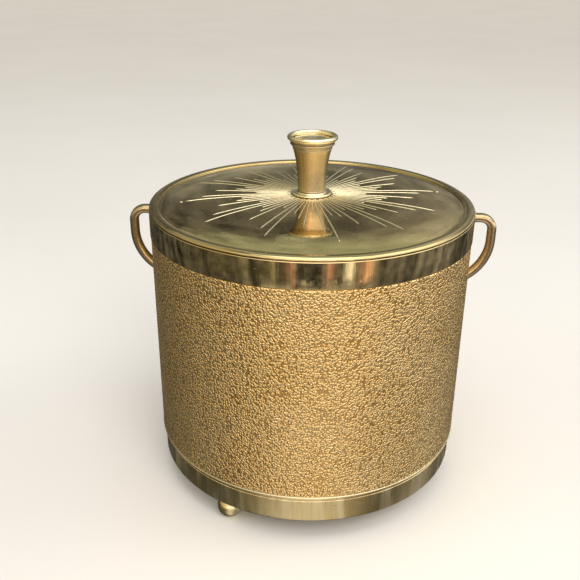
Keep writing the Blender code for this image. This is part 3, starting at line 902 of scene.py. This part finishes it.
def build_knob():
    """Dished ring, flared knob with its lip and beads, and the disc in its top."""
    ring_edge, ring_low, ring_top = reach("knob_escutcheon")
    corners = [(LID_HOLE, ring_low, 0.0), (ring_edge, ring_low, 0.25), (ring_edge, ring_low + 1.6, 0.6)]
    corners += [(ring_edge - 1.3, ring_low + 0.8, 0.5), (8.9, ring_low + 0.8, 0.4), (8.5, ring_top, 0.2)]
    corners += [(LID_HOLE, ring_top, 0.0)]
    turned("knob_ring", rounded(corners, 6), "knob_brass", "lid", ("knob_escutcheon",), SMALL)

    rim, foot, top = reach("knob_body")
    flare_top = top - 8.8
    waist, throat, flare_power, lip = 8.15, 11.0, 2.2, 1.3
    recess = top - 3.4
    bore, bore_end = 2.6, 197.3
    body = [(0.0, recess), (rim - 2 * lip - 0.3, recess), (rim - 2 * lip, recess + 0.3)]
    body += arc(rim - lip, top - lip, lip, 180.0, 0.0, 20)
    body += [(rim, top - 1.9), (rim - 0.25, top - 2.3), (12.9, top - 3.7), (12.55, top - 4.1)]
    body += arc(12.35, top - 4.9, 0.6, 70.0, -70.0, 8)
    body += [(12.2, top - 5.9), (11.4, top - 6.9)]
    body += arc(11.0, top - 7.6, 0.5, 60.0, -60.0, 6)
    steps = 28
    flare_foot = foot + 0.8
    for step in range(steps + 1):
        share = 1.0 - step / steps
        flare = waist + (throat - waist) * share**flare_power
        body.append((flare, flare_foot + (flare_top - flare_foot) * share))
    body += [(8.35, foot + 0.5), (8.4, foot + 0.25), (8.2, foot)]
    body += [(bore, foot), (bore, bore_end), (0.0, bore_end)]
    turned("turned_knob", body, "knob_brass", "lid", ("knob_body",), SMALL)

    disc_edge, low, _ = reach("knob_cap")
    cap = [(0.0, low + 1.3), (6.2, low + 1.22)] + arc(6.6, low + 1.0, 0.25, 90.0, 0.0, 4)
    cap += [(6.95, low + 0.75), (7.3, low + 0.9), (11.0, low + 0.72), (disc_edge, low + 0.4)]
    cap += [(disc_edge, low), (0.0, low)]
    turned("knob_disc", cap, "knob_brass", "lid", ("knob_cap",), SMALL)


def build_lid_pan():
    """Plastic pan under the lid, with rounded corners and a moulded ring."""
    flange, low, top = reach("lid_inner_pan")
    wall = 1.5
    corners = [(LID_HOLE, low, 0.0), (30.0, low, 0.4), (30.6, low + 0.5, 0.4), (33.0, low + 0.5, 0.4)]
    corners += [(33.6, low, 0.4), (79.4, low, 6.0), (80.6, top - wall, 0.5)]
    corners += [(flange, top - wall, 0.4), (flange, top, 0.4)]
    corners += [(79.0, top, 0.3), (77.8, low + wall, 4.4), (LID_HOLE, low + wall, 0.0)]
    turned("lid_plug", rounded(corners, 8), "ivory_plastic", "lid", ("lid_inner_pan",))


build_pan()
build_feet()
build_sleeve()
build_band()
build_tub()
build_gasket("tub_gasket", "rim_gasket", 85.0, "bucket")
build_handles()
build_lid()
build_starburst()
build_knob()
build_lid_pan()
build_gasket("lid_seal", "lid_gasket", 84.2, "lid")


# Stage, lights and camera


FLOOR_HALF = 6.0  # metres


def build_floor():
    """Plain pale floor, which the metal doesn't mirror."""
    mesh = bpy.data.meshes.new("floor")
    corners = [(x * FLOOR_HALF, y * FLOOR_HALF, 0.0) for x, y in ((-1, -1), (1, -1), (1, 1), (-1, 1))]
    mesh.from_pydata(corners, [], [(0, 1, 2, 3)])
    obj = new_object("floor", mesh)
    material, tree, shader = start_material("pale_floor", Roughness=0.9)
    tone = noise(tree, place_of(tree), 3.0)
    colour = blend(tree, spread(tree, tone, 0.3, 0.7), (0.70, 0.69, 0.67), (0.73, 0.72, 0.70))
    tree.links.new(colour, shader.inputs["Base Color"])
    mesh.materials.append(material)
    obj.visible_glossy = False


def toward(azimuth, elevation):
    """Direction with azimuth in degrees from -Y towards +X, and elevation in degrees."""
    a, e = math.radians(azimuth), math.radians(elevation)
    return Vector((math.sin(a) * math.cos(e), -math.cos(a) * math.cos(e), math.sin(e)))


# What the metal mirrors, as soft patches of the room: an azimuth and how tightly the patch
# gathers round it, the lowest and highest elevation, how soft those edges are, and a colour.
PATCHES = (
    (2.0, 4.5, -90.0, -30.0, 3.5, (1.40, 1.20, 0.90)),
    (105.0, 8.0, -90.0, -30.0, 3.5, (0.40, 0.36, 0.34)),
    (-45.0, 6.0, -27.0, -8.0, 3.0, (0.13, 0.11, 0.05)),
    (-22.0, 900.0, -27.0, -8.0, 3.0, (0.35, 0.30, 0.15)),
    (-11.0, 900.0, -27.0, -8.0, 3.0, (0.70, 0.36, 0.22)),
    (15.0, 700.0, -27.0, -8.0, 3.0, (1.00, 0.52, 0.34)),
    (28.0, 1500.0, -27.0, -8.0, 3.0, (2.60, 2.40, 2.00)),
    (40.0, 500.0, -27.0, -8.0, 3.0, (1.50, 0.80, 0.48)),
    (36.0, 40.0, -27.0, -8.0, 4.0, (0.16, 0.12, 0.08)),
    (85.0, 6.0, -27.0, -8.0, 4.0, (0.24, 0.22, 0.20)),
    (20.0, 2.0, -5.0, 9.0, 2.5, (3.00, 2.60, 2.20)),
    (-8.0, 30.0, -6.0, 9.0, 2.5, (0.90, 0.40, 0.20)),
    (22.0, 1.6, 9.0, 30.0, 3.0, (0.75, 0.68, 0.55)),
    (22.0, 1.6, 30.0, 78.0, 6.0, (2.50, 2.16, 1.70)),
    (100.0, 4.0, -5.0, 9.0, 2.5, (2.10, 1.96, 1.66)),
    (98.0, 6.0, 9.0, 30.0, 3.0, (0.70, 0.65, 0.54)),
    (98.0, 6.0, 30.0, 66.0, 8.0, (2.10, 1.90, 1.60)),
    (-60.0, 2.0, -5.0, 60.0, 4.0, (0.58, 0.44, 0.19)),
    (180.0, 0.8, 34.0, 64.0, 3.0, (0.31, 0.34, 0.23)),
    (162.0, 60.0, 8.0, 30.0, 8.0, (0.17, 0.16, 0.14)),
    (160.0, 60.0, 24.0, 36.0, 5.0, (0.34, 0.32, 0.25)),
    (-172.0, 200.0, -8.0, 8.0, 4.0, (0.30, 0.27, 0.20)),
    (-170.0, 90.0, 6.0, 17.0, 5.0, (0.10, 0.10, 0.08)),
    (0.0, 0.0, 71.0, 120.0, 4.0, (1.80, 1.74, 1.50)),
)
ROOM_DARK = (0.019, 0.018, 0.0146)
ROOM_LIGHT = (0.266, 0.252, 0.2044)
BACKDROP = (0.62, 0.61, 0.60)


def build_world():
    """Plain pale light for the camera and for dull surfaces, and a mottled room for the metal to mirror.

    The room is darker and streaky below the horizon.
    """
    world = bpy.data.worlds.new("studio")
    bpy.context.scene.world = world
    world.use_nodes = True
    tree = world.node_tree
    tree.nodes.clear()
    way = add(tree, "TexCoord").outputs["Generated"]
    parts = add(tree, "SeparateXYZ", Vector=way)
    level = add(tree, "CombineXYZ", X=parts.outputs["X"], Y=parts.outputs["Y"]).outputs[0]
    heading = add(tree, "VectorMath", settings={"operation": "NORMALIZE"}, n0=level).outputs[0]
    height = sum_of(tree, sum_of(tree, parts.outputs["Z"], 0.0, "ARCSINE"), 180.0 / math.pi, "MULTIPLY")
    height = sum_of(tree, height, spread(tree, noise(tree, way, 11.0, detail=2.0), 0.3, 0.7, -4.0, 4.0))
    clump = noise(tree, way, 13.0, detail=8.0, roughness=0.68)
    total = blend(tree, spread(tree, clump, 0.36, 0.64), ROOM_DARK, ROOM_LIGHT)
    for azimuth, gather, low, high, soft, colour in PATCHES:
        aim = toward(azimuth, 0.0)
        facing = add(tree, "VectorMath", settings={"operation": "DOT_PRODUCT"}, n0=heading, n1=aim)
        share = sum_of(tree, facing.outputs["Value"], 0.0, "MAXIMUM")
        share = sum_of(tree, share, gather, "POWER")
        share = sum_of(tree, share, spread(tree, height, low - soft, low + soft), "MULTIPLY")
        share = sum_of(tree, share, spread(tree, height, high - soft, high + soft, 1.0, 0.0), "MULTIPLY")
        total = blend(tree, 1.0, total, blend(tree, share, (0.0, 0.0, 0.0), colour), mode="ADD")
    streak = spread(tree, noise(tree, heading, 9.0, detail=5.0, roughness=0.6), 0.32, 0.68, 0.15, 1.10)
    total = blend(tree, spread(tree, height, -10.0, 4.0, 1.0, 0.0), total, streak, mode="MULTIPLY")
    ray = add(tree, "LightPath").outputs
    plain = sum_of(tree, ray["Is Camera Ray"], ray["Is Diffuse Ray"], "MAXIMUM")
    total = blend(tree, plain, total, BACKDROP)
    background = add(tree, "Background", Color=total, Strength=1.0)
    output = tree.nodes.new("ShaderNodeOutputWorld")
    tree.links.new(background.outputs[0], output.inputs["Surface"])


def add_light(name, azimuth, elevation, distance, size, watts, colour):
    """Round soft light that faces the bucket and that the metal doesn't mirror."""
    light = bpy.data.lights.new(name, "AREA")
    light.shape = "DISK"
    light.size = size
    light.energy = watts
    light.color = colour
    obj = new_object(name, light)
    aim = Vector((0.0, 0.0, 0.1))
    way = toward(azimuth, elevation)
    obj.location = aim + way * distance
    obj.rotation_euler = way.to_track_quat("Z", "Y").to_euler()
    obj.visible_glossy = False


def build_lights():
    """A soft key in front and to the right, with weaker lights above and at both sides."""
    add_light("key", 22.0, 42.0, 1.7, 1.1, 14.0, (1.0, 0.96, 0.90))
    add_light("top", 0.0, 82.0, 1.5, 1.0, 6.0, (1.0, 0.98, 0.94))
    add_light("side", 95.0, 40.0, 1.7, 0.9, 6.0, (1.0, 0.97, 0.92))
    add_light("fill", -70.0, 40.0, 1.9, 1.0, 3.0, (1.0, 0.97, 0.92))


CAMERA_PLACE = (0.01312, -0.42935, 0.3081)  # metres
CAMERA_PITCH = 0.4215  # radians below level
CAMERA_YAW = -0.058943  # radians from +Y towards +X
CAMERA_ROLL = 0.0091  # radians


def build_camera():
    """The photograph's view: from in front of the bucket and above it, and close to it."""
    camera = bpy.data.cameras.new("camera")
    camera.lens = 46.65
    camera.sensor_width = 36.0
    camera.clip_start = 0.01
    obj = new_object("camera", camera)
    ahead = toward(180.0 - math.degrees(CAMERA_YAW), -math.degrees(CAMERA_PITCH))
    right = Vector((math.cos(CAMERA_YAW), -math.sin(CAMERA_YAW), 0.0))
    up = right.cross(ahead)
    axes = Matrix((right, up, -ahead)).transposed() @ Matrix.Rotation(CAMERA_ROLL, 3, "Z")
    obj.matrix_world = Matrix.Translation(CAMERA_PLACE) @ axes.to_4x4()
    bpy.context.scene.camera = obj


build_floor()
build_world()
build_lights()
build_camera()
bpy.context.scene.view_settings.view_transform = "Standard"
